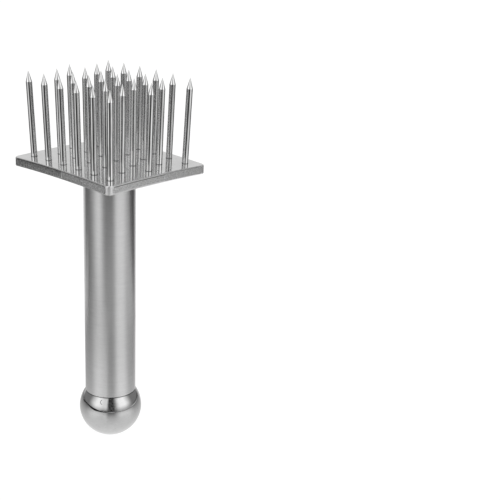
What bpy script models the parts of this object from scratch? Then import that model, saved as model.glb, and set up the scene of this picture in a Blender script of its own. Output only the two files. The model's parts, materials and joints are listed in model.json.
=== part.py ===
# Needle meat tenderizer: a crowned plate with pressed-in needles on a welded tube handle with a
# hollow ball end. Metres, +Z along the handle towards the needle points. The origin is the lowest
# point of the ball, on the handle's axis. The needle rows and the plate's long edges run along X.

import math

import bmesh
import bpy
from mathutils import Vector

# Needle field
LONG_ROW_NEEDLES = 6
NEEDLE_ROWS = 5
NEEDLE_PITCH = 0.011
ROW_PITCH = 0.0115
NEEDLE_DIAMETER = 0.003
NEEDLE_STANDOUT = 0.0355
POINT_LENGTH = 0.0054
HEAD_STEP = 0.0009
HEAD_RIM = 0.0003

# Head plate
PLATE_THICKNESS = 0.004
PLATE_MARGIN = 0.007
PLATE_CROWN = 0.0013
CORNER_RADIUS = 0.0025
TOP_EDGE_BEVEL = 0.0004
LOWER_EDGE_ROUND = 0.0009

# Handle tube and its weld
TUBE_DIAMETER = 0.025
TUBE_WALL = 0.0012
TUBE_LENGTH = 0.115
WELD_LEG = 0.0025
WELD_SWELL = 0.0003

# Ball end
BALL_STEP = 0.003
BALL_WALL = 0.0015
VENT_DIAMETER = 0.006

# Gap between pieces that touch, how far a cutter passes the face it cuts, and the distance
# within which points count as one
SEAT_GAP = 0.0003
CUT_OVERRUN = 0.001
MERGE_DISTANCE = 0.00001

# Facets
NEEDLE_SIDES = 16
TUBE_SIDES = 64
BALL_SIDES = 48
BALL_RINGS = 20
INNER_BALL_RINGS = 8
CORNER_STEPS = 5
ROUND_STEPS = 3
WELD_STEPS = 4
CROWN_CELLS = 6

# Derived radii and heights
needle_radius = NEEDLE_DIAMETER / 2
head_radius = needle_radius + HEAD_STEP
tube_radius = TUBE_DIAMETER / 2
tube_bore = tube_radius - TUBE_WALL
ball_radius = tube_radius + BALL_STEP
ball_bore = ball_radius - BALL_WALL
seat_radius = ball_radius + SEAT_GAP
tube_foot = ball_radius + math.sqrt(seat_radius ** 2 - tube_radius ** 2)
tube_top = tube_foot + TUBE_LENGTH

# Derived plate, as large as the needle field and a margin all round
plate_length = (LONG_ROW_NEEDLES - 1) * NEEDLE_PITCH + 2 * PLATE_MARGIN
plate_width = (NEEDLE_ROWS - 1) * ROW_PITCH + 2 * PLATE_MARGIN
corner_reach = math.hypot(plate_length / 2, plate_width / 2)


def crown_drop(x, y=0.0):
    """How far the crowned plate lies below its centre at (x, y)."""
    return PLATE_CROWN * (x * x + y * y) / corner_reach ** 2


plate_bottom = tube_top + SEAT_GAP + crown_drop(tube_radius)
plate_top = plate_bottom + PLATE_THICKNESS


def clear_scene():
    for old in list(bpy.data.objects):
        bpy.data.objects.remove(old, do_unlink=True)


def add_collection(name):
    collection = bpy.data.collections.new(name)
    bpy.context.scene.collection.children.link(collection)
    return collection


def add_object(name, mesh, collection, material=None):
    piece = bpy.data.objects.new(name, mesh)
    collection.objects.link(piece)
    if material:
        mesh.materials.clear()
        mesh.materials.append(material)
    return piece


def steel(name, grey, roughness):
    """Bare stainless steel of one grey and one finish."""
    material = bpy.data.materials.new(name)
    material.use_nodes = True
    shader = material.node_tree.nodes["Principled BSDF"]
    shader.inputs["Base Color"].default_value = (grey, grey, grey, 1.0)
    shader.inputs["Metallic"].default_value = 1.0
    shader.inputs["Roughness"].default_value = roughness
    return material


def profile_mesh(name, points, closed=False):
    """A profile of (radius, height) points in the XZ plane, ready to be turned about Z."""
    last = len(points) if closed else len(points) - 1
    edges = [(i, (i + 1) % len(points)) for i in range(last)]
    mesh = bpy.data.meshes.new(name)
    mesh.from_pydata([(radius, 0, height) for radius, height in points], edges, [])
    return mesh


def turn(piece, sides):
    """Turn the profile of a piece about its own Z axis."""
    screw = piece.modifiers.new("Turn", 'SCREW')
    screw.axis = 'Z'
    screw.angle = math.tau
    screw.steps = sides
    screw.render_steps = sides
    screw.use_merge_vertices = True
    screw.merge_threshold = MERGE_DISTANCE
    screw.use_smooth_shade = True
    screw.use_normal_calculate = False


def arc(centre_height, radius, start, end, steps):
    """Points of an arc about a centre on the axis; angles are measured up from the horizontal."""
    angles = [start + (end - start) * i / steps for i in range(steps + 1)]
    return [(radius * math.cos(a), centre_height + radius * math.sin(a)) for a in angles]


# Needle field: rows of six and five in turn, each shorter row shifted by half a pitch

def needle_places():
    places = []
    for row in range(NEEDLE_ROWS):
        count = LONG_ROW_NEEDLES - row % 2
        y = (row - (NEEDLE_ROWS - 1) / 2) * ROW_PITCH
        for column in range(count):
            places.append(((column - (count - 1) / 2) * NEEDLE_PITCH, y))
    return places


def stand_square(piece, x, y):
    """Put a piece's origin on the plate's top face at (x, y), square to the crowned face."""
    lean = 2 * PLATE_CROWN / corner_reach ** 2
    normal = Vector((lean * x, lean * y, 1))
    piece.location = (x, y, plate_top - crown_drop(x, y))
    piece.rotation_mode = 'QUATERNION'
    piece.rotation_quaternion = Vector((0, 0, 1)).rotation_difference(normal)


def needle_profile():
    """Needle from its point down to its countersunk head; height zero is the plate's top face."""
    neck = HEAD_RIM + HEAD_STEP - PLATE_THICKNESS
    return [
        (0, NEEDLE_STANDOUT + POINT_LENGTH),
        (needle_radius, NEEDLE_STANDOUT),
        (needle_radius, neck),
        (head_radius, HEAD_RIM - PLATE_THICKNESS),
        (head_radius, -PLATE_THICKNESS),
        (0, -PLATE_THICKNESS),
    ]


def hole_profile():
    """The drilled and countersunk hole of one needle, wider than the needle all round."""
    neck = HEAD_RIM + HEAD_STEP + SEAT_GAP - PLATE_THICKNESS
    wide = head_radius + SEAT_GAP
    return [
        (0, CUT_OVERRUN),
        (needle_radius + SEAT_GAP, CUT_OVERRUN),
        (needle_radius + SEAT_GAP, neck),
        (wide, neck - HEAD_STEP),
        (wide, -PLATE_THICKNESS - CUT_OVERRUN),
        (0, -PLATE_THICKNESS - CUT_OVERRUN),
    ]


def build_needles(collection, material):
    mesh = profile_mesh("needle_profile", needle_profile())
    for number, (x, y) in enumerate(needle_places(), start=1):
        needle = add_object(f"needle_{number:02d}", mesh, collection, material)
        turn(needle, NEEDLE_SIDES)
        stand_square(needle, x, y)


def build_hole_cutters(collection):
    mesh = profile_mesh("hole_profile", hole_profile())
    for number, (x, y) in enumerate(needle_places(), start=1):
        cutter = add_object(f"hole_cutter_{number:02d}", mesh, collection)
        turn(cutter, NEEDLE_SIDES)
        stand_square(cutter, x, y)
        cutter.hide_render = True
        cutter.display_type = 'WIRE'


# Head plate: a block with rounded corners and edges, pressed to a shallow crown, then drilled

def upright_edges(bm):
    return [e for e in bm.edges if abs(e.verts[0].co.z - e.verts[1].co.z) > PLATE_THICKNESS / 2]


def rim_edges(bm, height):
    """Edges of the outline at one height, between a flat face and the plate's sides."""
    level = [e for e in bm.edges if all(abs(v.co.z - height) < MERGE_DISTANCE for v in e.verts)]
    return [e for e in level if len({round(abs(f.normal.z)) for f in e.link_faces}) == 2]


def split_in_cells(bm):
    """Divide the plate by planes across X and Y, so that its faces can follow the crown."""
    for i in range(1, CROWN_CELLS):
        for normal, side in (((1, 0, 0), plate_length), ((0, 1, 0), plate_width)):
            everything = bm.verts[:] + bm.edges[:] + bm.faces[:]
            point = Vector(normal) * side * (i / CROWN_CELLS - 1 / 2)
            bmesh.ops.bisect_plane(bm, geom=everything, plane_co=point, plane_no=normal)


def plate_mesh():
    bm = bmesh.new()
    bmesh.ops.create_cube(bm, size=1)
    bmesh.ops.scale(bm, vec=(plate_length, plate_width, PLATE_THICKNESS), verts=bm.verts)
    bmesh.ops.translate(bm, vec=(0, 0, -PLATE_THICKNESS / 2), verts=bm.verts)
    bmesh.ops.bevel(bm, geom=upright_edges(bm), offset=CORNER_RADIUS, offset_type='OFFSET',
                    segments=CORNER_STEPS, profile=0.5, affect='EDGES')
    bm.normal_update()
    bmesh.ops.bevel(bm, geom=rim_edges(bm, -PLATE_THICKNESS), offset=LOWER_EDGE_ROUND,
                    offset_type='OFFSET', segments=ROUND_STEPS, profile=0.5, affect='EDGES')
    bm.normal_update()
    bmesh.ops.bevel(bm, geom=rim_edges(bm, 0), offset=TOP_EDGE_BEVEL, offset_type='OFFSET',
                    segments=1, profile=0.5, affect='EDGES')
    split_in_cells(bm)
    for vertex in bm.verts:
        vertex.co.z -= crown_drop(vertex.co.x, vertex.co.y)
    bmesh.ops.triangulate(bm, faces=bm.faces)
    mesh = bpy.data.meshes.new("head_plate")
    bm.to_mesh(mesh)
    bm.free()
    mesh.shade_smooth()
    mesh.set_sharp_from_angle(angle=math.radians(20))
    return mesh


def build_plate(collection, material, cutters):
    plate = add_object("head_plate", plate_mesh(), collection, material)
    plate.location = (0, 0, plate_top)
    drill = plate.modifiers.new("Needle holes", 'BOOLEAN')
    drill.operation = 'DIFFERENCE'
    drill.solver = 'EXACT'
    drill.operand_type = 'COLLECTION'
    drill.collection = cutters


# Handle: a plain tube whose lower end is chamfered inside to the ball's curve, and its weld bead

def build_tube(collection, material):
    chamfer_top = ball_radius + math.sqrt(seat_radius ** 2 - tube_bore ** 2)
    profile = [
        (tube_bore, tube_top),
        (tube_radius, tube_top),
        (tube_radius, tube_foot),
        (tube_bore, chamfer_top),
    ]
    tube = add_object("handle_tube", profile_mesh("handle_tube", profile, closed=True),
                      collection, material)
    turn(tube, TUBE_SIDES)


def weld_profile():
    """Section of the bead: its leg along the plate, its swollen face, its leg along the tube."""
    inner = tube_radius + SEAT_GAP
    outer = inner + WELD_LEG
    outer_height = plate_bottom - crown_drop(outer) - SEAT_GAP
    inner_height = plate_bottom - crown_drop(inner) - SEAT_GAP
    points = [(inner, inner_height)]
    for i in range(WELD_STEPS + 1):
        along_share = i / WELD_STEPS
        swell = WELD_SWELL * math.sin(math.pi * along_share) / math.sqrt(2)
        points.append((outer - WELD_LEG * along_share + swell,
                       outer_height - WELD_LEG * along_share - swell))
    return points


def build_weld(collection, material):
    mesh = profile_mesh("handle_weld", weld_profile(), closed=True)
    weld = add_object("handle_weld", mesh, collection, material)
    turn(weld, TUBE_SIDES)


# Ball end: a hollow ball, open to the inside of the tube through its vent hole

def ball_profile():
    """From the floor of the hollow up to the vent hole, and down the outside to the lowest point."""
    vent_radius = VENT_DIAMETER / 2
    inside = arc(ball_radius, ball_bore, -math.pi / 2, math.acos(vent_radius / ball_bore),
                 INNER_BALL_RINGS)
    outside = arc(ball_radius, ball_radius, math.acos(vent_radius / ball_radius), -math.pi / 2,
                  BALL_RINGS)
    inside[0] = (0, BALL_WALL)
    outside[-1] = (0, 0)
    return inside + outside


def build_ball(collection, material):
    ball = add_object("ball_end", profile_mesh("ball_end", ball_profile()), collection, material)
    turn(ball, BALL_SIDES)


def hang_on_axis(collection):
    """Parent every piece to one empty on the handle's axis."""
    axis = bpy.data.objects.new("tool_axis", None)
    bpy.context.scene.collection.objects.link(axis)
    for piece in collection.objects:
        piece.parent = axis


clear_scene()
tool_parts = add_collection("needle_tenderizer")
hole_cutters = add_collection("hole_cutters")
build_hole_cutters(hole_cutters)
build_plate(tool_parts, steel("plate_steel", 0.62, 0.28), hole_cutters)
build_needles(tool_parts, steel("needle_steel", 0.68, 0.16))
build_tube(tool_parts, steel("satin_tube_steel", 0.60, 0.34))
build_weld(tool_parts, steel("weld_steel", 0.50, 0.45))
build_ball(tool_parts, steel("ball_steel", 0.70, 0.06))
hang_on_axis(tool_parts)
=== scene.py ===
import json
import math

import bmesh
import bpy
import numpy as np
from mathutils import Matrix, Vector

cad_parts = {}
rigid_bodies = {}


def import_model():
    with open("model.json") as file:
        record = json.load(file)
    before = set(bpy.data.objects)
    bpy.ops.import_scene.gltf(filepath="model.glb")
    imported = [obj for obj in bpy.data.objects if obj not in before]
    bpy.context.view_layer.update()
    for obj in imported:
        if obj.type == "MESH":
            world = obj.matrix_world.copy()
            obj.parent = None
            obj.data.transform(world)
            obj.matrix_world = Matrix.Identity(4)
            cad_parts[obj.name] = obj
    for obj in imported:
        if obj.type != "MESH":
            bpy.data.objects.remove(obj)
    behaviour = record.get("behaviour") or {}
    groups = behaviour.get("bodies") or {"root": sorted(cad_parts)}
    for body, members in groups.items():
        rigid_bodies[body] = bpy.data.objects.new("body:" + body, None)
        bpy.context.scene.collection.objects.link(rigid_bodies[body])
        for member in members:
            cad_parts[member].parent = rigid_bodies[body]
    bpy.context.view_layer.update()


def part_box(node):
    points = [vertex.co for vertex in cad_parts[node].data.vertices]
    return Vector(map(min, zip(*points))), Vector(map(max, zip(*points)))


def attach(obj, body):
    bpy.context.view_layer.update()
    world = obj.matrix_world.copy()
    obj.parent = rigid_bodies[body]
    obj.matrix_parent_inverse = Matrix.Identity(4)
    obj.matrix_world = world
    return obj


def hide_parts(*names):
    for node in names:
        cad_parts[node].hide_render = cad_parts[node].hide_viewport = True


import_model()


# Head plate
# A rectangle cut from stainless sheet and pressed to a shallow crown, butted on the tube. Both faces
# are polished, the cut sides keep the grain of the belt that squared them, and the edges and corners
# are shined.

PLATE_LENGTH = 0.069
PLATE_WIDTH = 0.060
PLATE_THICKNESS = 0.0043
PLATE_CROWN = 0.0013
CORNER_RADIUS = 0.0025
TOP_EDGE_ROUND = 0.0004
LOWER_EDGE_ROUND = 0.0005
PLATE_SHARP_ANGLE = 40

plate_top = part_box("head_plate")[1].z
corner_reach = math.hypot(PLATE_LENGTH, PLATE_WIDTH) / 2
corner_x, corner_y = PLATE_LENGTH / 2 - CORNER_RADIUS, PLATE_WIDTH / 2 - CORNER_RADIUS
wall_high, wall_low = -TOP_EDGE_ROUND, LOWER_EDGE_ROUND - PLATE_THICKNESS
wall_middle = (wall_low + wall_high) / 2


def crown_drop(x, y):
    """How far the crowned plate lies below its centre: the crown times the squared share of the
    distance to a corner."""
    return PLATE_CROWN * (x ** 2 + y ** 2) / corner_reach ** 2


def surface_mesh(name, points, closed_rows=False):
    """A mesh over a grid of points whose columns run round and close. With closed_rows the last row
    joins the first; otherwise the first and the last row shrink to poles and are merged."""
    rows, columns = points.shape[:2]
    last = rows if closed_rows else rows - 1
    row, column = np.meshgrid(np.arange(last), np.arange(columns), indexing="ij")
    below, beside = (row + 1) % rows, (column + 1) % columns
    corners = [row * columns + column, row * columns + beside,
               below * columns + beside, below * columns + column]
    faces = np.stack(corners, axis=-1).reshape(-1, 4)
    mesh = bpy.data.meshes.new(name)
    mesh.from_pydata(points.reshape(-1, 3).tolist(), [], faces.tolist())
    if not closed_rows:
        merge_poles(mesh)
    return mesh


def merge_poles(mesh):
    """Weld the points that fall together at the poles of a closed surface."""
    bm = bmesh.new()
    bm.from_mesh(mesh)
    bmesh.ops.remove_doubles(bm, verts=bm.verts, dist=1e-7)
    bm.to_mesh(mesh)
    bm.free()


def add_piece(name, mesh, material, sharp_angle):
    """Put a mesh in the scene as a smooth piece with sharp edges above an angle."""
    piece = bpy.data.objects.new(name, mesh)
    bpy.context.scene.collection.objects.link(piece)
    mesh.materials.append(material)
    mesh.shade_smooth()
    mesh.set_sharp_from_angle(angle=math.radians(sharp_angle))
    return piece


PLATE_CORNER_STEPS = 14
PLATE_SIDE_STEPS = 48
PLATE_FACE_RINGS = 36
PLATE_ROUND_STEPS = 8
PLATE_WALL_STEPS = 4
GUARD_SHARE = 0.004


def rounded_outline():
    """The plate's outline and its outward normals: four corner arcs, each followed by a straight
    side, both as arrays of (x, y)."""
    points, normals = [], []
    centres = np.array([(1, 1), (-1, 1), (-1, -1), (1, -1)]) * (corner_x, corner_y)
    for turn, centre in enumerate(centres):
        angles = math.pi / 2 * (turn + np.linspace(0, 1, PLATE_CORNER_STEPS + 1))
        normal = np.stack([np.cos(angles), np.sin(angles)], axis=1)
        arc = centre + CORNER_RADIUS * normal
        following = centres[(turn + 1) % 4] + CORNER_RADIUS * normal[-1]
        share = np.linspace(0, 1, PLATE_SIDE_STEPS + 1)[1:-1, None]
        side = arc[-1] + (following - arc[-1]) * share
        points += [arc, side]
        normals += [normal, np.repeat(normal[-1:], len(side), axis=0)]
    return np.concatenate(points), np.concatenate(normals)


def guarded(steps):
    """Even shares from 0 to 1 with one more close to each end, which keeps the shading of a flat
    stretch flat up to the round beside it."""
    return np.unique(np.concatenate([np.linspace(0, 1, steps + 1), [GUARD_SHARE, 1 - GUARD_SHARE]]))


def plate_points():
    """Rings from the middle of the top face, over the top edge, down the side and round the lower
    edge to the middle of the underside. Rings on a face are the outline shrunk to the middle."""
    outline, normals = rounded_outline()
    face = guarded(PLATE_FACE_RINGS)[:-1]
    quarter = np.linspace(0, math.pi / 2, PLATE_ROUND_STEPS + 1)
    wall = guarded(PLATE_WALL_STEPS)[1:-1]
    inset = np.concatenate([
        np.full(face.size, TOP_EDGE_ROUND),
        TOP_EDGE_ROUND * (1 - np.sin(quarter)),
        np.zeros(wall.size),
        LOWER_EDGE_ROUND * (1 - np.cos(quarter)),
        np.full(face.size, LOWER_EDGE_ROUND)])
    height = np.concatenate([
        np.zeros(face.size),
        TOP_EDGE_ROUND * (np.cos(quarter) - 1),
        wall_high + (wall_low - wall_high) * wall,
        wall_low - LOWER_EDGE_ROUND * np.sin(quarter),
        np.full(face.size, -PLATE_THICKNESS)])
    spread = np.concatenate([face, np.ones(height.size - 2 * face.size), face[::-1]])
    flat = (outline - inset[:, None, None] * normals) * spread[:, None, None]
    x, y = flat[..., 0], flat[..., 1]
    z = plate_top + height[:, None] - crown_drop(x, y)
    return np.stack([x, y, z], axis=-1)[::-1]


def add_node(tree, kind, inputs=None, **settings):
    """Add a node, set its options, and link or set its inputs."""
    node = tree.nodes.new(kind)
    for key, value in settings.items():
        setattr(node, key, value)
    for key, value in (inputs or {}).items():
        if isinstance(value, bpy.types.NodeSocket):
            tree.links.new(value, node.inputs[key])
        else:
            node.inputs[key].default_value = value
    return node


def maths(tree, operation, a, b=0.0):
    """One sum of two values."""
    return add_node(tree, "ShaderNodeMath", {0: a, 1: b}, operation=operation).outputs[0]


def smooth_step(tree, value, start, end, low=0.0, high=1.0):
    """A soft step of a value, from low at start to high at end."""
    inputs = {"Value": value, "From Min": start, "From Max": end, "To Min": low, "To Max": high}
    return add_node(tree, "ShaderNodeMapRange", inputs, interpolation_type='SMOOTHSTEP').outputs[0]


def blend(tree, share, first, second):
    """The first value, going over to the second as the share goes from 0 to 1."""
    return add_node(tree, "ShaderNodeMix", {"Factor": share, 2: first, 3: second}).outputs[0]


def varied(tree, value, pattern, amount):
    """A value that a pattern from 0 to 1 raises and lowers by a share of it."""
    centred = maths(tree, 'SUBTRACT', maths(tree, 'MULTIPLY', pattern, 2.0), 1.0)
    swing = maths(tree, 'MULTIPLY', centred, amount)
    return maths(tree, 'MULTIPLY', value, maths(tree, 'ADD', swing, 1.0))


def new_group(name, inputs, outputs):
    """A shader node group with named inputs of given kinds and named value outputs, and both ends'
    sockets."""
    group = bpy.data.node_groups.new(name, "ShaderNodeTree")
    for label, kind in inputs.items():
        group.interface.new_socket(label, in_out='INPUT', socket_type=kind)
    for label in outputs:
        group.interface.new_socket(label, in_out='OUTPUT', socket_type='NodeSocketFloat')
    return group, group.nodes.new("NodeGroupInput").outputs, group.nodes.new("NodeGroupOutput").inputs


def add_group(tree, group, **inputs):
    """Place a node group with its inputs, and give its outputs."""
    return add_node(tree, "ShaderNodeGroup", inputs, node_tree=group).outputs


def fine_lines_group():
    """Lines left by a belt or a die: smooth noise, stretched along the lines. Steps are the length
    and widths of a line along X, Y and Z."""
    tree, given, made = new_group(
        "fine_lines", {"Place": 'NodeSocketVector', "Steps": 'NodeSocketVector'}, ["Lines"])
    counted = add_node(tree, "ShaderNodeVectorMath", {0: given["Place"], 1: given["Steps"]},
                       operation='DIVIDE').outputs[0]
    lines = add_node(tree, "ShaderNodeTexNoise", {"Vector": counted, "Scale": 1.0, "Detail": 3.0,
                                                  "Roughness": 0.65}).outputs[0]
    tree.links.new(lines, made["Lines"])
    return tree


def handling_group():
    """Marks of use: soft clouds, and small pits where a scattered point lies close and its random
    colour is bright."""
    tree, given, made = new_group(
        "handling_marks", {"Place": 'NodeSocketVector', "Size": 'NodeSocketFloat'}, ["Clouds", "Pits"])
    counted = add_node(tree, "ShaderNodeVectorMath", {0: given["Place"], 1: given["Size"]},
                       operation='DIVIDE').outputs[0]
    clouds = add_node(tree, "ShaderNodeTexNoise", {"Vector": counted, "Scale": 1.0, "Detail": 2.0})
    points = add_node(tree, "ShaderNodeTexVoronoi", {"Vector": counted, "Scale": 2.6})
    near = smooth_step(tree, points.outputs["Distance"], 0.11, 0.05)
    chosen = smooth_step(tree, points.outputs["Color"], 0.66, 0.70)
    tree.links.new(clouds.outputs[0], made["Clouds"])
    tree.links.new(maths(tree, 'MULTIPLY', near, chosen), made["Pits"])
    return tree


def grain_group():
    """Coarse grain of a cut or cast face: two layers of noise of unlike size, added."""
    tree, given, made = new_group(
        "cut_grain", {"Place": 'NodeSocketVector', "Size": 'NodeSocketFloat'}, ["Grain"])
    counted = add_node(tree, "ShaderNodeVectorMath", {0: given["Place"], 1: given["Size"]},
                       operation='DIVIDE').outputs[0]
    coarse = add_node(tree, "ShaderNodeTexNoise", {"Vector": counted, "Scale": 0.4, "Detail": 1.0})
    fine = add_node(tree, "ShaderNodeTexNoise", {"Vector": counted, "Scale": 1.0, "Detail": 2.0,
                                                 "Roughness": 0.8})
    total = maths(tree, 'ADD', maths(tree, 'MULTIPLY', coarse.outputs[0], 0.4),
                  maths(tree, 'MULTIPLY', fine.outputs[0], 0.6))
    tree.links.new(smooth_step(tree, total, 0.34, 0.66), made["Grain"])
    return tree


def plate_height_group():
    """Height over the plate's crowned top face: z, less the top, plus the crown's drop there."""
    tree, given, made = new_group("height_over_plate", {"Place": 'NodeSocketVector'}, ["Height"])
    x, y, z = add_node(tree, "ShaderNodeSeparateXYZ", {0: given["Place"]}).outputs
    squares = maths(tree, 'ADD', maths(tree, 'MULTIPLY', x, x), maths(tree, 'MULTIPLY', y, y))
    drop = maths(tree, 'MULTIPLY', squares, PLATE_CROWN / corner_reach ** 2)
    tree.links.new(maths(tree, 'ADD', maths(tree, 'SUBTRACT', z, plate_top), drop), made["Height"])
    return tree


fine_lines = fine_lines_group()
handling_marks = handling_group()
cut_grain = grain_group()
height_over_plate = plate_height_group()


def new_steel(name, **settings):
    """A metal whose even values are set on its own sockets, and its tree, shader and place."""
    material = bpy.data.materials.new(name)
    material.use_nodes = True
    tree = material.node_tree
    shader = tree.nodes["Principled BSDF"]
    shader.inputs["Metallic"].default_value = 1.0
    for socket, value in settings.items():
        shader.inputs[socket.replace("_", " ")].default_value = value
    return material, tree, shader, add_node(tree, "ShaderNodeTexCoord").outputs["Object"]


def finish(tree, shader, grey, roughness, height, depth):
    """Give a metal its varying grey, its varying roughness, and its relief of a depth in metres."""
    relief = add_node(tree, "ShaderNodeBump", {"Height": height, "Distance": depth}).outputs[0]
    tree.links.new(grey, shader.inputs["Base Color"])
    tree.links.new(roughness, shader.inputs["Roughness"])
    tree.links.new(relief, shader.inputs["Normal"])


FACE_GREY = 0.66
FACE_ROUGHNESS = 0.09
FACE_LINE_STEPS = (0.012, 0.0004, 0.0004)
FACE_CLOUD_SIZE = 0.006
# Shined edges and corners, painted lighter than the faces as a highlight.
EDGE_HIGHLIGHT_GREY = 0.95
# Painted shade on a long side's lower edge.
LOWER_EDGE_SHADE_GREY = 0.5
EDGE_ROUGHNESS = 0.48
TOP_EDGE_ROUGHNESS = 0.15
LOWER_EDGE_SHADE_FADE = 0.0002
EDGE_NICK_SPACING = 0.0016
EDGE_NICK_REACH = 0.002
EDGE_NICK_DEPTHS = (-0.0006, -0.0002)
GRAIN_SIZE = 0.0003
GRAIN_ROUGHNESS = 0.6
GRAIN_END_ROUND = 0.0011
GRAIN_CORNER_OVERLAP = 0.0002
GRAIN_FADE = 0.0001
LONG_SIDE_MARGIN = 0.0001
SHORT_SIDE_MARGIN = 0.0003
LONG_SIDE_SEAM = 0.0016
SHORT_SIDE_SEAM = 0.0035
SEAM_WIDTH = 0.0004
SEAM_FADE = 0.001
LONG_SEAM_LIGHT = 0.4
SHORT_SEAM_LIGHT = 0.15
# Side tones with painted light and shade: the short side lighter, the long side darker.
FIRST_PASS_SHADED_GREYS = (0.33, 0.46)
SECOND_PASS_SHADED_GREYS = (0.58, 0.64)
SHORT_SIDE_LIT_GREYS = (0.74, 0.62)
FIRST_PASS_SWING = 0.75
SECOND_PASS_SWING = 0.5
SHORT_SIDE_SWING = 0.3
# A painted shade line just inside the top of each grain strip.
SHADE_LINE_INSET = 0.00005
SHADE_LINE_WIDTH = 0.0001
SHADE_LINE_FADE = 0.0005
SHADE_LINE_CORNER_FADE = (0.0002, 0.0015)
SHADE_LINE_GREY = 0.33
LONG_SHADE_LINE_TO_SEAM = 1.1
LONG_SHADE_LINE_PAST_SEAM = 0.75
SHORT_SHADE_LINE_PAST_SEAM = 0.5
PLATE_RELIEF = 0.00004


def distance_past(tree, one_way, other_way):
    """How far a place lies past a corner, from how far it lies past it each way."""
    past = add_node(tree, "ShaderNodeCombineXYZ", {0: maths(tree, 'MAXIMUM', one_way, 0.0),
                                                   1: maths(tree, 'MAXIMUM', other_way, 0.0)}).outputs[0]
    return add_node(tree, "ShaderNodeVectorMath", {0: past}, operation='LENGTH').outputs["Value"]


def grain_strip(tree, height, from_corner, margin):
    """How far a place on a side lies from the core of its strip of grain, and how far past the core's
    end. The strip's rounded outline lies one end round away from the core."""
    half_height = maths(tree, 'SUBTRACT', (wall_high - wall_low) / 2, margin)
    off_middle = maths(tree, 'ABSOLUTE', maths(tree, 'SUBTRACT', height, wall_middle))
    past_edge = maths(tree, 'ADD', maths(tree, 'SUBTRACT', off_middle, half_height), GRAIN_END_ROUND)
    past_end = maths(tree, 'SUBTRACT', GRAIN_END_ROUND - GRAIN_CORNER_OVERLAP, from_corner)
    return distance_past(tree, past_end, past_edge), past_end


def grain_grey(tree, x, y, height, on_short_side, past_seam, grain):
    """Grey of the belt's grain, with painted light and shade in its tones: a short side is painted
    lighter and a long side darker, as light falls on them. A long side has a dark pass, paler downwards,
    and past the seam a paler and smoother one. A short side has one tone, darker backwards. The seams are
    light."""
    first_pass = smooth_step(tree, height, wall_high, wall_low, *FIRST_PASS_SHADED_GREYS)
    second_pass = smooth_step(tree, x, LONG_SIDE_SEAM, PLATE_LENGTH / 2, *SECOND_PASS_SHADED_GREYS)
    long_grey = blend(tree, past_seam, first_pass, second_pass)
    short_grey = smooth_step(tree, y, -PLATE_WIDTH / 2, PLATE_WIDTH / 2, *SHORT_SIDE_LIT_GREYS)
    from_seam = blend(tree, on_short_side, maths(tree, 'SUBTRACT', x, LONG_SIDE_SEAM),
                      maths(tree, 'SUBTRACT', y, SHORT_SIDE_SEAM))
    seam = smooth_step(tree, maths(tree, 'ABSOLUTE', from_seam), SEAM_WIDTH, 0.0)
    seam = maths(tree, 'MULTIPLY', seam, blend(tree, on_short_side, LONG_SEAM_LIGHT, SHORT_SEAM_LIGHT))
    grey = maths(tree, 'ADD', blend(tree, on_short_side, long_grey, short_grey), seam)
    long_swing = blend(tree, past_seam, FIRST_PASS_SWING, SECOND_PASS_SWING)
    return varied(tree, grey, grain, blend(tree, on_short_side, long_swing, SHORT_SIDE_SWING))


def painted_shade_line(tree, height, reach, past_end, from_corner, on_short_side, past_seam, before_seam):
    """Share of a painted shade line just inside a strip's outline: on a long side over its top and round
    its ends, on a short side over its top, fading at the corner. Past a seam it is fainter."""
    off_shade_line = maths(tree, 'ABSOLUTE', maths(tree, 'SUBTRACT', reach, GRAIN_END_ROUND - SHADE_LINE_INSET))
    shade_line = smooth_step(tree, off_shade_line, 3 * SHADE_LINE_WIDTH, SHADE_LINE_WIDTH)
    upper = smooth_step(tree, height, wall_middle - SHADE_LINE_FADE, wall_middle)
    strength = blend(tree, past_seam, LONG_SHADE_LINE_TO_SEAM, LONG_SHADE_LINE_PAST_SEAM)
    on_long = maths(tree, 'MAXIMUM', maths(tree, 'MULTIPLY', upper, strength),
                    smooth_step(tree, past_end, 0.0, GRAIN_END_ROUND / 2))
    on_short = maths(tree, 'MULTIPLY', upper, blend(tree, before_seam, SHORT_SHADE_LINE_PAST_SEAM, 1.0))
    on_short = maths(tree, 'MULTIPLY', on_short, smooth_step(tree, from_corner, *SHADE_LINE_CORNER_FADE))
    return maths(tree, 'MULTIPLY', shade_line, blend(tree, on_short_side, on_long, on_short))


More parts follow.
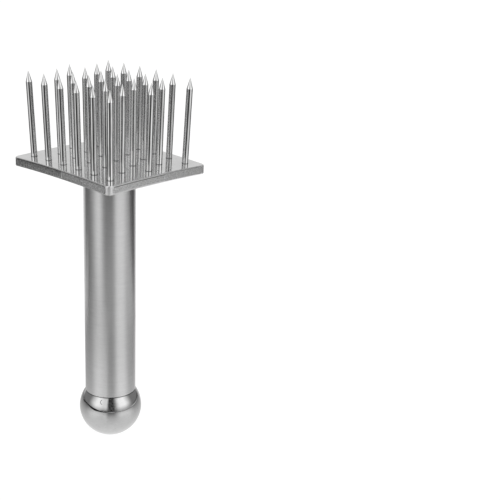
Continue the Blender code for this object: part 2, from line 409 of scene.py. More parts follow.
def make_plate_steel():
    """Polished faces, shined edges and corners painted lighter as a highlight, a long side's lower edge
    given painted shade as far as its seam, nicks in the top edge, and on each side a strip of grain with
    rounded ends and a painted shade line inside its outline."""
    material, tree, shader, place = new_steel("polished_plate_steel")
    x, y, _ = add_node(tree, "ShaderNodeSeparateXYZ", {0: place}).outputs
    past_x = maths(tree, 'SUBTRACT', maths(tree, 'ABSOLUTE', x), corner_x)
    past_y = maths(tree, 'SUBTRACT', maths(tree, 'ABSOLUTE', y), corner_y)
    on_short_side = maths(tree, 'GREATER_THAN', past_x, past_y)
    from_corner = maths(tree, 'MULTIPLY', maths(tree, 'MINIMUM', past_x, past_y), -1.0)
    outwards = distance_past(tree, past_x, past_y)
    on_edge = smooth_step(tree, outwards, CORNER_RADIUS - TOP_EDGE_ROUND,
                          CORNER_RADIUS - TOP_EDGE_ROUND / 2)
    height = add_group(tree, height_over_plate, Place=place)["Height"]
    grain = add_group(tree, cut_grain, Place=place, Size=GRAIN_SIZE)["Grain"]
    lines = add_group(tree, fine_lines, Place=place, Steps=FACE_LINE_STEPS)["Lines"]
    clouds = add_group(tree, handling_marks, Place=place, Size=FACE_CLOUD_SIZE)["Clouds"]

    past_seam = smooth_step(tree, x, LONG_SIDE_SEAM - SEAM_WIDTH, LONG_SIDE_SEAM + SEAM_WIDTH)
    before_seam = smooth_step(tree, y, SHORT_SIDE_SEAM + SEAM_FADE, SHORT_SIDE_SEAM - SEAM_FADE)
    margin = blend(tree, on_short_side, LONG_SIDE_MARGIN,
                   maths(tree, 'MULTIPLY', before_seam, SHORT_SIDE_MARGIN))
    reach, past_end = grain_strip(tree, height, from_corner, margin)
    grainy = smooth_step(tree, reach, GRAIN_END_ROUND + GRAIN_FADE, GRAIN_END_ROUND - GRAIN_FADE)
    grainy = maths(tree, 'MULTIPLY', grainy, on_edge)
    # Painted shade: a dark line inside each grain strip's outline.
    shade_line = painted_shade_line(tree, height, reach, past_end, from_corner, on_short_side, past_seam, before_seam)
    shade_line = maths(tree, 'MULTIPLY', shade_line, on_edge)

    face_grey = varied(tree, varied(tree, FACE_GREY, lines, 0.15), clouds, 0.10)
    # Painted shade on the long sides' lower edge: dark as far as the seam, fading to the edge's grey
    # beyond it.
    lower_edge_shade = maths(tree, 'MULTIPLY', smooth_step(tree, height, wall_low + LOWER_EDGE_SHADE_FADE, wall_low),
                       maths(tree, 'SUBTRACT', 1.0, on_short_side))
    lower_edge_shade_grey = smooth_step(tree, x, LONG_SIDE_SEAM, PLATE_LENGTH / 2, LOWER_EDGE_SHADE_GREY, EDGE_HIGHLIGHT_GREY)
    # The edges' grey: a painted highlight, with the painted shade of the lower edge.
    edge_highlight_and_shade_grey = varied(tree, blend(tree, lower_edge_shade, EDGE_HIGHLIGHT_GREY, lower_edge_shade_grey), grain, 0.06)
    side_grey = grain_grey(tree, x, y, height, on_short_side, past_seam, grain)
    grey = blend(tree, grainy, blend(tree, on_edge, face_grey, edge_highlight_and_shade_grey), side_grey)
    # The painted shade line darkens the grey.
    grey = maths(tree, 'MULTIPLY', grey, blend(tree, shade_line, 1.0, SHADE_LINE_GREY))

    nicks = add_group(tree, handling_marks, Place=place, Size=EDGE_NICK_SPACING)["Pits"]
    near_edge = smooth_step(tree, outwards, CORNER_RADIUS - EDGE_NICK_REACH,
                            CORNER_RADIUS - TOP_EDGE_ROUND)
    nicks = maths(tree, 'MULTIPLY', maths(tree, 'MULTIPLY', nicks, near_edge),
                  smooth_step(tree, height, *EDGE_NICK_DEPTHS))
    shined = smooth_step(tree, height, -TOP_EDGE_ROUND, -TOP_EDGE_ROUND / 2,
                         EDGE_ROUGHNESS, TOP_EDGE_ROUGHNESS)
    polished = varied(tree, blend(tree, on_edge, FACE_ROUGHNESS, shined), clouds, 0.25)
    roughness = blend(tree, grainy, polished, varied(tree, GRAIN_ROUGHNESS, grain, 0.2))
    roughness = maths(tree, 'ADD', roughness, maths(tree, 'MULTIPLY', nicks, 0.25))
    grain_relief = maths(tree, 'MULTIPLY', grain, blend(tree, on_short_side, 1.0, 0.6))
    relief = blend(tree, grainy, maths(tree, 'MULTIPLY', lines, 0.06), grain_relief)
    relief = maths(tree, 'SUBTRACT', relief, maths(tree, 'MULTIPLY', nicks, 2.0))
    finish(tree, shader, grey, roughness, relief, PLATE_RELIEF)
    return material


plate_mesh = surface_mesh("crowned_plate", plate_points())
plate = add_piece("crowned_plate", plate_mesh, make_plate_steel(), sharp_angle=PLATE_SHARP_ANGLE)


# Needles
# Hard stainless rod of one diameter, ground to a cone at one end. Each is pushed through the plate
# from below until its countersunk head is flush, and stands square to the crowned face.

LONG_ROW = 6
ROW_COUNT = 5
NEEDLE_PITCH = 0.011
ROW_PITCH = 0.0115
NEEDLE_RADIUS = 0.0015
NEEDLE_STANDOUT = 0.0355
POINT_LENGTH = 0.0054
POINT_ROUND = 0.00006
HEAD_STEP = 0.0009
HEAD_RIM = 0.0003
NEEDLE_SIDES = 64


def needle_places():
    """Base of each needle on the top face: rows of six and five in turn, centred on the plate."""
    rows = np.repeat(np.arange(ROW_COUNT), [LONG_ROW - row % 2 for row in range(ROW_COUNT)])
    counts = LONG_ROW - rows % 2
    columns = np.concatenate([np.arange(LONG_ROW - row % 2) for row in range(ROW_COUNT)])
    x = (columns - (counts - 1) / 2) * NEEDLE_PITCH
    y = (rows - (ROW_COUNT - 1) / 2) * ROW_PITCH
    return np.stack([x, y, plate_top - crown_drop(x, y)], axis=1)


def turned_points(profile, sides):
    """A profile of (radius, height) turned about Z: (r cos a, r sin a, h) for each angle a."""
    radius, height = np.array(profile, float).T
    angle = np.linspace(0, 2 * math.pi, sides, endpoint=False)
    x, y = np.outer(radius, np.cos(angle)), np.outer(radius, np.sin(angle))
    return np.stack([x, y, np.repeat(height[:, None], sides, axis=1)], axis=-1)


def square_to_plate(base):
    """The turn that stands a needle square to the crowned face at its base."""
    lean = 2 * PLATE_CROWN / corner_reach ** 2
    normal = Vector((lean * base[0], lean * base[1], 1))
    return np.array(Vector((0, 0, 1)).rotation_difference(normal).to_matrix())


SHAFT_GREY = 0.75
SHAFT_ROUGHNESS = 0.06
DRAWN_LINE_STEPS = (0.0007, 0.0007, 0.08)
DRAWN_LINE_SWING = 0.24
POINT_GREY = 0.82
POINT_ROUGHNESS = 0.08
POINT_LINE_STEPS = (0.004, 0.004, 0.0002)
POINT_FADE = 0.00005
# Painted shade at the needle's foot.
FOOT_SHADE_FADE = (0.0005, 0.0001)
FOOT_SHADE_SHARE = 0.5
HEAD_FADE = (-0.001, -0.0015)
NEEDLE_CLOUD_SIZE = 0.004
NEEDLE_RELIEF = 0.000001


def make_needle_steel():
    """A drawn shaft with clear lines along it down to a plain head, a ground point with fine lines round
    it, and painted shade at the foot, where the needle meets the plate."""
    material, tree, shader, place = new_steel("ground_needle_steel")
    height = add_group(tree, height_over_plate, Place=place)["Height"]
    pointed = smooth_step(tree, height, NEEDLE_STANDOUT - POINT_FADE, NEEDLE_STANDOUT + POINT_FADE)
    in_head = smooth_step(tree, height, *HEAD_FADE)
    # Painted shade at the foot, just above and below the plate's face.
    foot_shade = smooth_step(tree, maths(tree, 'ABSOLUTE', height), *FOOT_SHADE_FADE)
    drawn = add_group(tree, fine_lines, Place=place, Steps=DRAWN_LINE_STEPS)["Lines"]
    ground = add_group(tree, fine_lines, Place=place, Steps=POINT_LINE_STEPS)["Lines"]
    clouds = add_group(tree, handling_marks, Place=place, Size=NEEDLE_CLOUD_SIZE)["Clouds"]
    streaks = blend(tree, in_head, smooth_step(tree, drawn, 0.38, 0.62), 0.5)
    shaft_grey = varied(tree, varied(tree, SHAFT_GREY, streaks, DRAWN_LINE_SWING), clouds, 0.05)
    grey = blend(tree, pointed, shaft_grey, varied(tree, POINT_GREY, ground, 0.06))
    grey = maths(tree, 'MULTIPLY', grey, blend(tree, foot_shade, 1.0, FOOT_SHADE_SHARE))
    shaft_roughness = varied(tree, SHAFT_ROUGHNESS, clouds, 0.3)
    roughness = blend(tree, pointed, shaft_roughness, POINT_ROUGHNESS)
    relief = maths(tree, 'MULTIPLY', pointed, ground)
    finish(tree, shader, grey, roughness, relief, NEEDLE_RELIEF)
    return material


needle_profile = [
    (0, -PLATE_THICKNESS),
    (NEEDLE_RADIUS + HEAD_STEP, -PLATE_THICKNESS),
    (NEEDLE_RADIUS + HEAD_STEP, HEAD_RIM - PLATE_THICKNESS),
    (NEEDLE_RADIUS, HEAD_RIM + HEAD_STEP - PLATE_THICKNESS),
    (NEEDLE_RADIUS, 0),
    (NEEDLE_RADIUS, NEEDLE_STANDOUT / 2),
    (NEEDLE_RADIUS, NEEDLE_STANDOUT),
    (NEEDLE_RADIUS / 2, NEEDLE_STANDOUT + POINT_LENGTH / 2),
    (POINT_ROUND, NEEDLE_STANDOUT + POINT_LENGTH * (1 - POINT_ROUND / NEEDLE_RADIUS)),
    (0, NEEDLE_STANDOUT + POINT_LENGTH),
]
needle_steel = make_needle_steel()
needle_turned = turned_points(needle_profile, NEEDLE_SIDES)
for number, base in enumerate(needle_places(), start=1):
    points = needle_turned @ square_to_plate(base).T + base
    name = f"ground_needle_{number:02d}"
    needle = add_piece(name, surface_mesh(name, points), needle_steel, sharp_angle=10)
    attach(needle, "root")
    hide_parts(f"needle_{number:02d}")


# Needle holes
# The plate is drilled square to its crown at each needle's place and countersunk from below, both a
# hair wider than the needle and its head.

HOLE_GAP = 0.0001
HOLE_OVERRUN = 0.001

hole_neck = HEAD_RIM + HEAD_STEP + HOLE_GAP - PLATE_THICKNESS
hole_profile = [
    (0, -PLATE_THICKNESS - HOLE_OVERRUN),
    (NEEDLE_RADIUS + HEAD_STEP + HOLE_GAP, -PLATE_THICKNESS - HOLE_OVERRUN),
    (NEEDLE_RADIUS + HEAD_STEP + HOLE_GAP, hole_neck - HEAD_STEP),
    (NEEDLE_RADIUS + HOLE_GAP, hole_neck),
    (NEEDLE_RADIUS + HOLE_GAP, HOLE_OVERRUN),
    (0, HOLE_OVERRUN),
]
hole_turned = turned_points(hole_profile, NEEDLE_SIDES)
drills = bpy.data.collections.new("drills")
bpy.context.scene.collection.children.link(drills)
for number, base in enumerate(needle_places(), start=1):
    points = hole_turned @ square_to_plate(base).T + base
    drills.objects.link(bpy.data.objects.new(f"drill_{number:02d}", surface_mesh("drill", points)))
cut = plate.modifiers.new("Needle holes", 'BOOLEAN')
cut.operation = 'DIFFERENCE'
cut.solver = 'EXACT'
cut.operand_type = 'COLLECTION'
cut.collection = drills
drilled = bpy.data.meshes.new_from_object(plate.evaluated_get(bpy.context.evaluated_depsgraph_get()))
plate.modifiers.clear()
plate.data = drilled
drilled.set_sharp_from_angle(angle=math.radians(PLATE_SHARP_ANGLE))
for drill in list(drills.objects):
    bpy.data.meshes.remove(drill.data)
bpy.data.collections.remove(drills)
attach(plate, "root")
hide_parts("head_plate")


# Handle tube
# Drawn stainless tube, belt-polished so that its fine lines run round it, chamfered inside at the
# foot to sit on the ball.

TUBE_RADIUS = 0.0125
TUBE_WALL = 0.0012
BALL_RADIUS = 0.0155
SEAT_GAP = 0.0003
TUBE_SIDES = 192

tube_low, tube_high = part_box("handle_tube")
tube_bore = TUBE_RADIUS - TUBE_WALL
chamfer_top = BALL_RADIUS + math.sqrt((BALL_RADIUS + SEAT_GAP) ** 2 - tube_bore ** 2)
tube_profile = [
    (tube_bore, tube_high.z),
    (tube_bore, chamfer_top),
    (TUBE_RADIUS, tube_low.z),
    (TUBE_RADIUS, (tube_low.z + tube_high.z) / 2),
    (TUBE_RADIUS, tube_high.z),
]

TUBE_GREY = 0.78
TUBE_ROUGHNESS = 0.30
TUBE_LINE_STEPS = (0.010, 0.010, 0.0006)
HATCH_STEPS = (0.008, 0.008, 0.0007)
HATCH_ANGLE = 32
TUBE_MARK_SIZE = 0.012
TUBE_RELIEF = 0.000005


def make_tube_steel():
    """Satin steel: reflections drawn out along the tube by fine lines round it, a fainter hatch that
    crosses them both ways, and a thin veil of scattered light."""
    material, tree, shader, place = new_steel("satin_tube_steel", Metallic=0.85, Anisotropic=0.7,
                                              Anisotropic_Rotation=0.25)
    round_axis = add_node(tree, "ShaderNodeTangent", direction_type='RADIAL', axis='Z').outputs[0]
    tree.links.new(round_axis, shader.inputs["Tangent"])
    lines = add_group(tree, fine_lines, Place=place, Steps=TUBE_LINE_STEPS)["Lines"]
    hatch = []
    for way in (-1, 1):
        angle = way * math.radians(HATCH_ANGLE)
        tilted = add_node(tree, "ShaderNodeVectorRotate",
                          {"Vector": place, "Axis": (1.0, -1.0, 0.0), "Angle": angle}).outputs[0]
        hatch.append(add_group(tree, fine_lines, Place=tilted, Steps=HATCH_STEPS)["Lines"])
    hatched = maths(tree, 'MULTIPLY', maths(tree, 'ADD', *hatch), 0.5)
    marks = add_group(tree, handling_marks, Place=place, Size=TUBE_MARK_SIZE)
    grey = varied(tree, varied(tree, TUBE_GREY, lines, 0.09), hatched, 0.06)
    grey = varied(tree, grey, marks["Clouds"], 0.04)
    roughness = varied(tree, varied(tree, TUBE_ROUGHNESS, lines, 0.12), marks["Clouds"], 0.08)
    relief = maths(tree, 'SUBTRACT', lines, maths(tree, 'MULTIPLY', marks["Pits"], 0.6))
    finish(tree, shader, grey, roughness, relief, TUBE_RELIEF)
    return material


tube_mesh = surface_mesh("satin_tube", turned_points(tube_profile, TUBE_SIDES), closed_rows=True)
tube = add_piece("satin_tube", tube_mesh, make_tube_steel(), sharp_angle=20)
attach(tube, "root")
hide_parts("handle_tube")


# Handle weld
# The bead that joins the tube to the plate's underside, laid in one turn, so its face is a row of
# overlapping crescents.

WELD_LEG = 0.0025
WELD_SWELL = 0.0003
RIPPLE_COUNT = 58
RIPPLE_HEIGHT = 0.00012
RIPPLE_LAG = 0.9
RIPPLE_STEPS = 12
BEAD_FACE_STEPS = 24

plate_bottom = plate_top - PLATE_THICKNESS


def bead_points():
    """Rows run up the swollen face from the tube to the plate and back along both. A crescent's height
    over its period is 1 - (2 part - 1) squared, and the lag holds it back at the bead's edges."""
    rise = np.linspace(0, 1, BEAD_FACE_STEPS + 1)[:, None]
    angle = np.linspace(0, 2 * math.pi, RIPPLE_COUNT * RIPPLE_STEPS, endpoint=False)[None, :]
    bulge = np.sin(math.pi * rise)
    part = (RIPPLE_COUNT * angle / (2 * math.pi) - RIPPLE_LAG * bulge) % 1.0
    swell = bulge * (WELD_SWELL + RIPPLE_HEIGHT * (1 - (2 * part - 1) ** 2)) / math.sqrt(2)
    face_radius = TUBE_RADIUS + WELD_LEG * rise + swell
    face_fall = WELD_LEG * (1 - rise) + swell
    corner = np.full_like(angle, TUBE_RADIUS)
    radius = np.concatenate([face_radius, corner])
    fall = np.concatenate([face_fall, np.zeros_like(corner)])
    x, y = radius * np.cos(angle), radius * np.sin(angle)
    return np.stack([x, y, plate_bottom - crown_drop(x, y) - fall], axis=-1)


WELD_GREY = 0.52
WELD_ROUGHNESS = 0.3
WELD_GRAIN_SIZE = 0.0005
WELD_CLOUD_SIZE = 0.005
WELD_RELIEF = 0.00001


def make_weld_steel():
    """Bare weld metal: darker than the sheet and grainy, with soft clouds of heat."""
    material, tree, shader, place = new_steel("weld_bead_steel")
    grain = add_group(tree, cut_grain, Place=place, Size=WELD_GRAIN_SIZE)["Grain"]
    clouds = add_group(tree, handling_marks, Place=place, Size=WELD_CLOUD_SIZE)["Clouds"]
    grey = varied(tree, varied(tree, WELD_GREY, grain, 0.10), clouds, 0.22)
    roughness = varied(tree, WELD_ROUGHNESS, clouds, 0.35)
    finish(tree, shader, grey, roughness, grain, WELD_RELIEF)
    return material


bead_mesh = surface_mesh("rippled_weld", bead_points(), closed_rows=True)
bead = add_piece("rippled_weld", bead_mesh, make_weld_steel(), sharp_angle=60)
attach(bead, "root")
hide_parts("handle_weld")


# Ball end
# A hollow polished ball, seated in the tube's chamfered foot and vented into the tube. Hand polishing
# left it a hundredth of a millimetre or two out of round.

BALL_WALL = 0.0015
VENT_RADIUS = 0.003
BALL_SIDES = 256
BALL_RINGS = 128
UNEVENNESS = 0.000010
UNEVEN_LENGTH = 0.004
WAVE_COUNT = 16


def ball_profile():
    """Outside from the lowest point up to the vent, and inside from the vent down to the floor:
    two arcs about the same centre."""
    outer = np.linspace(-math.pi / 2, math.acos(VENT_RADIUS / BALL_RADIUS), BALL_RINGS + 1)
    bore = BALL_RADIUS - BALL_WALL
    inner = np.linspace(math.acos(VENT_RADIUS / bore), -math.pi / 2, BALL_RINGS // 2 + 1)
    angle = np.concatenate([outer, inner])
    radius = np.concatenate([np.full(outer.size, BALL_RADIUS), np.full(inner.size, bore)])
    return np.stack([radius * np.cos(angle), BALL_RADIUS + radius * np.sin(angle)], axis=1)


def unevenly(points):
    """Move points towards the ball's centre by unevenness times 1 - 2 waves, where waves is the mean of
    sines that run in random directions, each one uneven length long."""
    chance = np.random.default_rng(7)
    ways = chance.normal(size=(WAVE_COUNT, 3))
    ways /= np.linalg.norm(ways, axis=1, keepdims=True) * UNEVEN_LENGTH / (2 * math.pi)
    waves = np.sin(points @ ways.T + chance.uniform(0, 2 * math.pi, WAVE_COUNT)).mean(axis=-1)
    outward = points - (0, 0, BALL_RADIUS)
    size = np.linalg.norm(outward, axis=-1, keepdims=True)
    return points + outward / size * UNEVENNESS * (2 * waves[..., None] - 1)


BALL_GREY = 0.62
BALL_ROUGHNESS = 0.055
BALL_LINE_STEPS = (0.0012, 0.0012, 0.0006)
BALL_MARK_SIZE = 0.0035
BALL_RELIEF = 0.00001
# Painted shade in the seam under the tube's foot.
SEAM_SHADE_REACH = 0.0006
NICK_PLACE = (0.0073, -0.0114, 0.0230)
NICK_RADIUS = 0.0011
NICK_WIDTH = 0.00022
NICK_SIDE = (-0.74, -0.67, 0.0)


def make_ball_steel():
    """Mirror polish with soft clouds, a few pits, one crescent nick, and painted shade in the seam under
    the tube, where the tube's foot sits on the ball."""
    material, tree, shader, place = new_steel("mirror_ball_steel")
    _, _, z = add_node(tree, "ShaderNodeSeparateXYZ", {0: place}).outputs
    # Painted shade in the seam where the tube's foot meets the ball.
    seam = smooth_step(tree, z, tube_low.z - SEAM_SHADE_REACH, tube_low.z - SEAM_SHADE_REACH / 2)
    marks = add_group(tree, handling_marks, Place=place, Size=BALL_MARK_SIZE)
    lines = add_group(tree, fine_lines, Place=place, Steps=BALL_LINE_STEPS)["Lines"]
    from_nick = add_node(tree, "ShaderNodeVectorMath", {0: place, 1: NICK_PLACE},
                         operation='SUBTRACT').outputs[0]
    distance = add_node(tree, "ShaderNodeVectorMath", {0: from_nick}, operation='LENGTH').outputs["Value"]
    off_ring = maths(tree, 'ABSOLUTE', maths(tree, 'SUBTRACT', distance, NICK_RADIUS))
    ring = smooth_step(tree, off_ring, NICK_WIDTH, NICK_WIDTH / 3)
    towards = add_node(tree, "ShaderNodeVectorMath", {0: from_nick, 1: NICK_SIDE},
                       operation='DOT_PRODUCT').outputs["Value"]
    nick = maths(tree, 'MULTIPLY', ring, smooth_step(tree, towards, 0.0, NICK_RADIUS / 2))
    worn = maths(tree, 'MAXIMUM', nick, maths(tree, 'MULTIPLY', marks["Pits"], 0.5))
    grey = varied(tree, varied(tree, BALL_GREY, marks["Clouds"], 0.07), lines, 0.05)
    grey = maths(tree, 'MULTIPLY', grey, blend(tree, worn, 1.0, 0.25))
    grey = maths(tree, 'MULTIPLY', grey, blend(tree, seam, 1.0, 0.25))
    roughness = varied(tree, varied(tree, BALL_ROUGHNESS, marks["Clouds"], 0.4), lines, 0.3)
    roughness = maths(tree, 'ADD', roughness, maths(tree, 'MULTIPLY', worn, 0.2))
    relief = maths(tree, 'SUBTRACT', maths(tree, 'MULTIPLY', lines, 0.3), worn)
    finish(tree, shader, grey, roughness, relief, BALL_RELIEF)
    return material


ball_mesh = surface_mesh("mirror_ball", unevenly(turned_points(ball_profile(), BALL_SIDES)))
ball = add_piece("mirror_ball", ball_mesh, make_ball_steel(), sharp_angle=30)
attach(ball, "root")
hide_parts("ball_end")


# Studio
# Steel sees a soft window of light at the front on each side of the camera, dark clutter between
# them, grey walls and a white backdrop. The eye sees only white. Angles are in degrees.

CAMERA_HEADING = 42.18
CAMERA_DOWN = 19.07
CAMERA_ROLL = 2.147
CAMERA_LENS = 82.51
SENSOR_WIDTH = 36
CAMERA_PLACE = (0.40309, -0.34358, 0.28274)

camera_data = bpy.data.cameras.new("camera")
camera_data.lens = CAMERA_LENS
camera_data.sensor_width = SENSOR_WIDTH
camera = bpy.data.objects.new("camera", camera_data)
bpy.context.scene.collection.objects.link(camera)
camera.matrix_world = (Matrix.Translation(CAMERA_PLACE)
                       @ Matrix.Rotation(math.radians(CAMERA_HEADING), 4, 'Z')
                       @ Matrix.Rotation(math.radians(90 - CAMERA_DOWN), 4, 'X')
                       @ Matrix.Rotation(math.radians(CAMERA_ROLL), 4, 'Z'))
bpy.context.scene.camera = camera

LEFT_WINDOW_EDGES = ((-90, -46, -86, -44), (2, -11, -6, -32))
RIGHT_WINDOW_EDGES = ((15, 47, 6, 38), (102, 62, 106, 66))
LEFT_WINDOW_INNER = (-18, -44, 0.72, 1.0)


def windows_group():
    """The two windows by azimuth, 0 at the front. Each edge is a soft step from an azimuth outside to
    one inside, and low down between two others. The left window is dimmer on its inner side."""
    tree, given, made = new_group(
        "front_windows", {"Azimuth": 'NodeSocketFloat', "Low": 'NodeSocketFloat'}, ["Windows"])

    def window(edges):
        """One window, the product of its two edges."""
        steps = [smooth_step(tree, given["Azimuth"], blend(tree, given["Low"], outside, low_outside),
                             blend(tree, given["Low"], inside, low_inside))
                 for outside, inside, low_outside, low_inside in edges]
        return maths(tree, 'MULTIPLY', *steps)

    left = maths(tree, 'MULTIPLY', window(LEFT_WINDOW_EDGES),
                 smooth_step(tree, given["Azimuth"], *LEFT_WINDOW_INNER))
    tree.links.new(maths(tree, 'ADD', left, window(RIGHT_WINDOW_EDGES)), made["Windows"])
    return tree


def facing(tree, place):
    """Height of a place or direction and its azimuth, turned so that 0 is at the front."""
    turned = add_node(tree, "ShaderNodeVectorRotate",
                      {"Vector": place, "Angle": -math.radians(CAMERA_HEADING)}, rotation_type='Z_AXIS')
    across, ahead, up = add_node(tree, "ShaderNodeSeparateXYZ", {0: turned.outputs[0]}).outputs
    angle = maths(tree, 'ARCTAN2', across, maths(tree, 'MULTIPLY', ahead, -1.0))
    return up, maths(tree, 'MULTIPLY', angle, 180 / math.pi)


WINDOW_LOW_ELEVATIONS = (-6, -17)
WINDOW_TOP_FADE = (36, 56, 1.0, 0.2)
WINDOW_FOOT_LEVELS = (-17, -8, 1.08, 0.7)
WINDOW_RISE_LEVELS = (-5, 15, 0.0, 1.0)
CLUTTER_LEVELS = (0.35, 0.7, 0.03, 0.16)
CLUTTER_END = (40, 80)
WALL_LEVELS = (-14, 4, 0.30, 0.31)
GAP_SHARE = 0.08
LEFT_GAP = (-86, -97)
RIGHT_GAP = (95, 108)
GAP_TOP = (2, -7)
BACKDROP_LEFT = (-112, -146)
BACKDROP_RIGHT = (136, 166)
CEILING_LEVELS = (48, 68, 0.0, 0.9)
ROOM_LEVEL = 0.8


def room_light(tree):
    """What steel sees in each direction: windows that brighten upwards and at their feet, clutter,
    walls with a dark gap low down behind each window, the backdrop and a pale ceiling."""
    around = add_node(tree, "ShaderNodeTexCoord").outputs["Generated"]
    up, azimuth = facing(tree, around)
    elevation = maths(tree, 'MULTIPLY', maths(tree, 'ARCSINE', up), 180 / math.pi)
    low = smooth_step(tree, elevation, *WINDOW_LOW_ELEVATIONS)
    windows = add_group(tree, front_windows, Azimuth=azimuth, Low=low)["Windows"]
    windows = maths(tree, 'MULTIPLY', windows, smooth_step(tree, elevation, *WINDOW_TOP_FADE))
    window_level = maths(tree, 'ADD', smooth_step(tree, elevation, *WINDOW_FOOT_LEVELS),
                         smooth_step(tree, elevation, *WINDOW_RISE_LEVELS))
    clutter = add_node(tree, "ShaderNodeTexNoise", {"Vector": around, "Scale": 9.0, "Detail": 1.0})
    clutter_level = smooth_step(tree, clutter.outputs[0], *CLUTTER_LEVELS)
    gap = maths(tree, 'ADD', smooth_step(tree, azimuth, *LEFT_GAP),
                smooth_step(tree, azimuth, *RIGHT_GAP))
    gap = maths(tree, 'MULTIPLY', gap, smooth_step(tree, elevation, *GAP_TOP))
    wall_level = maths(tree, 'MULTIPLY', smooth_step(tree, elevation, *WALL_LEVELS),
                       blend(tree, gap, 1.0, GAP_SHARE))
    past_clutter = smooth_step(tree, maths(tree, 'ABSOLUTE', azimuth), *CLUTTER_END)
    room = blend(tree, past_clutter, clutter_level, wall_level)
    room = blend(tree, windows, room, window_level)
    backdrop = maths(tree, 'ADD', smooth_step(tree, azimuth, *BACKDROP_LEFT),
                     smooth_step(tree, azimuth, *BACKDROP_RIGHT))
    room = maths(tree, 'MAXIMUM', room, backdrop)
    return maths(tree, 'MAXIMUM', room, smooth_step(tree, elevation, *CEILING_LEVELS))


front_windows = windows_group()
world = bpy.data.worlds.new("studio")
bpy.context.scene.world = world
world.use_nodes = True
tree = world.node_tree
tree.nodes.clear()
to_camera = add_node(tree, "ShaderNodeLightPath").outputs["Is Camera Ray"]
level = blend(tree, to_camera, maths(tree, 'MULTIPLY', room_light(tree), ROOM_LEVEL), 1.0)
shade = add_node(tree, "ShaderNodeBackground", {"Color": (1, 1, 1, 1), "Strength": level})
add_node(tree, "ShaderNodeOutputWorld", {"Surface": shade.outputs[0]})


# Table
# The eye sees a white floor with a soft shadow. Steel sees a small table there, bright under the tool,
# with the windows' light across it and a low dark rim, and round it a lit floor that fades into the
# room and is dark where the camera stands.


def studio_piece(name, points, faces):
    """A piece of the studio with an empty material, and the material's tree."""
    mesh = bpy.data.meshes.new(name)
    mesh.from_pydata(points, [], faces)
    piece = bpy.data.objects.new(name, mesh)
    bpy.context.scene.collection.objects.link(piece)
    material = bpy.data.materials.new(name)
    material.use_nodes = True
    material.node_tree.nodes.clear()
    mesh.materials.append(material)
    return material.node_tree


def seen_in_steel(tree, plain, mirrored):
    """One shader for the eye and for matt light, and another for what polished steel reflects."""
    in_steel = add_node(tree, "ShaderNodeLightPath").outputs["Is Glossy Ray"]
    mixed = add_node(tree, "ShaderNodeMixShader", {0: in_steel, 1: plain, 2: mirrored})
    add_node(tree, "ShaderNodeOutputMaterial", {"Surface": mixed.outputs[0]})


def lit(tree, strength):
    """A surface that shows an even brightness."""
    return add_node(tree, "ShaderNodeEmission", {"Strength": strength}).outputs[0]


def clear(tree):
    """A surface that isn't seen."""
    return add_node(tree, "ShaderNodeBsdfTransparent").outputs[0]


def from_foot(tree):
    """Distance of a place from the tool's foot, and its azimuth, 0 at the front."""
    place = add_node(tree, "ShaderNodeTexCoord").outputs["Object"]
    away = add_node(tree, "ShaderNodeVectorMath", {0: place}, operation='LENGTH').outputs["Value"]
    return away, facing(tree, place)[1]


FLOOR_REACH = 6.0
FLOOR_DROP = 0.0002
FLOOR_GREY = 0.3
FLOOR_GLOW = 0.87
FRONT_START = (0.34, 0.42)
FRONT_WIDTH = (36, 16)
FRONT_LEVEL = 0.04
NEARBY_END = (0.38, 0.24)
NEARBY_BACK = (160, 140)
NEARBY_SHRINK = (100, 145, 1.0, 1.6)
NEARBY_LEVELS = (10, 80, 0.55, 0.70)


def floor_in_steel(tree):
    """The floor as steel sees it: lit near the table, less far out at the back, but not where the
    windows' light falls or straight behind; clear farther out; and dark in front."""
    away, azimuth = from_foot(tree)
    sideways = maths(tree, 'ABSOLUTE', azimuth)
    windows = add_group(tree, front_windows, Azimuth=azimuth)["Windows"]
    spread = maths(tree, 'MULTIPLY', away, smooth_step(tree, sideways, *NEARBY_SHRINK))
    nearby = maths(tree, 'MULTIPLY', smooth_step(tree, spread, *NEARBY_END),
                   smooth_step(tree, sideways, *NEARBY_BACK))
    nearby = maths(tree, 'MULTIPLY', nearby, maths(tree, 'SUBTRACT', 1.0, windows))
    near_light = lit(tree, smooth_step(tree, sideways, *NEARBY_LEVELS))
    around = add_node(tree, "ShaderNodeMixShader", {0: nearby, 1: clear(tree), 2: near_light}).outputs[0]
    in_front = maths(tree, 'MULTIPLY', smooth_step(tree, away, *FRONT_START),
                     smooth_step(tree, sideways, *FRONT_WIDTH))
    dark = lit(tree, FRONT_LEVEL)
    return add_node(tree, "ShaderNodeMixShader", {0: in_front, 1: around, 2: dark}).outputs[0]


quarters = ((-1, -1), (1, -1), (1, 1), (-1, 1))
floor_corners = [(x * FLOOR_REACH, y * FLOOR_REACH, -FLOOR_DROP) for x, y in quarters]
tree = studio_piece("floor", floor_corners, [(0, 1, 2, 3)])
matt = add_node(tree, "ShaderNodeBsdfDiffuse", {"Color": (FLOOR_GREY, FLOOR_GREY, FLOOR_GREY, 1)})
to_camera = add_node(tree, "ShaderNodeLightPath").outputs["Is Camera Ray"]
white = lit(tree, maths(tree, 'MULTIPLY', to_camera, FLOOR_GLOW))
plain = add_node(tree, "ShaderNodeAddShader", {0: matt.outputs[0], 1: white}).outputs[0]
seen_in_steel(tree, plain, floor_in_steel(tree))

TABLE_RADIUS = 0.155
TABLE_LEAF = 0.22
LEAF_AZIMUTH = -90
LEAF_WIDTH_BACK = 10
LEAF_WIDTH_FRONT = 20
RIM_HEIGHT_SHARE = 0.019
RIM_LIFT_SHARE = 0.115
LIFT_AZIMUTH = -62
LIFT_WIDTH = 40
RIM_SIDES = 180
RIM_LEVEL = 0.03


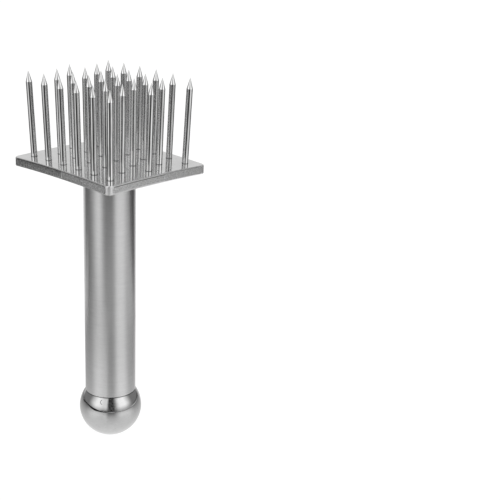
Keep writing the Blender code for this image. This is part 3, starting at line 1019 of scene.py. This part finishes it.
def rim_points():
    """Low and high points of the rim by azimuth. Its reach is the table's radius plus a leaf, a bell
    curve of the azimuth, and its height a share of the reach plus a lift, another bell curve."""
    azimuth = np.linspace(-180, 180, RIM_SIDES, endpoint=False)
    leaf_width = np.where(azimuth < LEAF_AZIMUTH, LEAF_WIDTH_BACK, LEAF_WIDTH_FRONT)
    reach = TABLE_RADIUS + TABLE_LEAF * np.exp(-((azimuth - LEAF_AZIMUTH) / leaf_width) ** 2)
    lift = RIM_LIFT_SHARE * TABLE_RADIUS * np.exp(-((azimuth - LIFT_AZIMUTH) / LIFT_WIDTH) ** 2)
    turn = np.radians(azimuth - 90 + CAMERA_HEADING)
    low = np.stack([reach * np.cos(turn), reach * np.sin(turn), np.zeros(RIM_SIDES)], axis=1)
    return low, low + (RIM_HEIGHT_SHARE * reach + lift)[:, None] * (0, 0, 1)


POOL_LEVEL = 1.08
POOL_FALL = 0.056
TOOL_SHADE_START = (0.025, 0.09)
TOOL_SHADE_AZIMUTH = 6
TOOL_SHADE_WIDTH = (34, 8)
TOOL_SHADE_SHARE = 0.66
WINDOW_POOL_LEVELS = (0.012, 0.07, 0.0, 0.44)
REAR_START = (130, 165)
REAR_SHARE = 0.76
REAR_LEVELS = (0.015, 0.05, 0.0, 0.5)


def table_light(tree):
    """Brightness of the table: a pool that falls as 1 / (1 + distance / fall), dimmer in the tool's
    shade at the front, plus the windows' light; at the rear dimmer, plus the backdrop's light."""
    away, azimuth = from_foot(tree)
    falls = maths(tree, 'ADD', maths(tree, 'DIVIDE', away, POOL_FALL), 1.0)
    pool = maths(tree, 'DIVIDE', POOL_LEVEL, falls)
    off_shade = maths(tree, 'ABSOLUTE', maths(tree, 'SUBTRACT', azimuth, TOOL_SHADE_AZIMUTH))
    shaded = maths(tree, 'MULTIPLY', smooth_step(tree, away, *TOOL_SHADE_START),
                   smooth_step(tree, off_shade, *TOOL_SHADE_WIDTH))
    pool = maths(tree, 'MULTIPLY', pool, blend(tree, shaded, 1.0, TOOL_SHADE_SHARE))
    windows = add_group(tree, front_windows, Azimuth=azimuth)["Windows"]
    windows = maths(tree, 'MULTIPLY', windows, smooth_step(tree, away, *WINDOW_POOL_LEVELS))
    rear = smooth_step(tree, maths(tree, 'ABSOLUTE', azimuth), *REAR_START)
    pool = maths(tree, 'MULTIPLY', maths(tree, 'ADD', pool, windows), blend(tree, rear, 1.0, REAR_SHARE))
    return maths(tree, 'ADD', pool, maths(tree, 'MULTIPLY', rear, smooth_step(tree, away, *REAR_LEVELS)))


rim_low, rim_high = rim_points()
side = np.arange(RIM_SIDES)
beside = (side + 1) % RIM_SIDES
tree = studio_piece("table_top", rim_low.tolist(), [side.tolist()])
seen_in_steel(tree, clear(tree), lit(tree, table_light(tree)))

rim_faces = np.stack([side, beside, beside + RIM_SIDES, side + RIM_SIDES], axis=1)
tree = studio_piece("table_rim", np.concatenate([rim_low, rim_high]).tolist(), rim_faces.tolist())
seen_in_steel(tree, clear(tree), lit(tree, RIM_LEVEL))

bpy.context.scene.view_settings.view_transform = 'Standard'

bpy.context.view_layer.update()
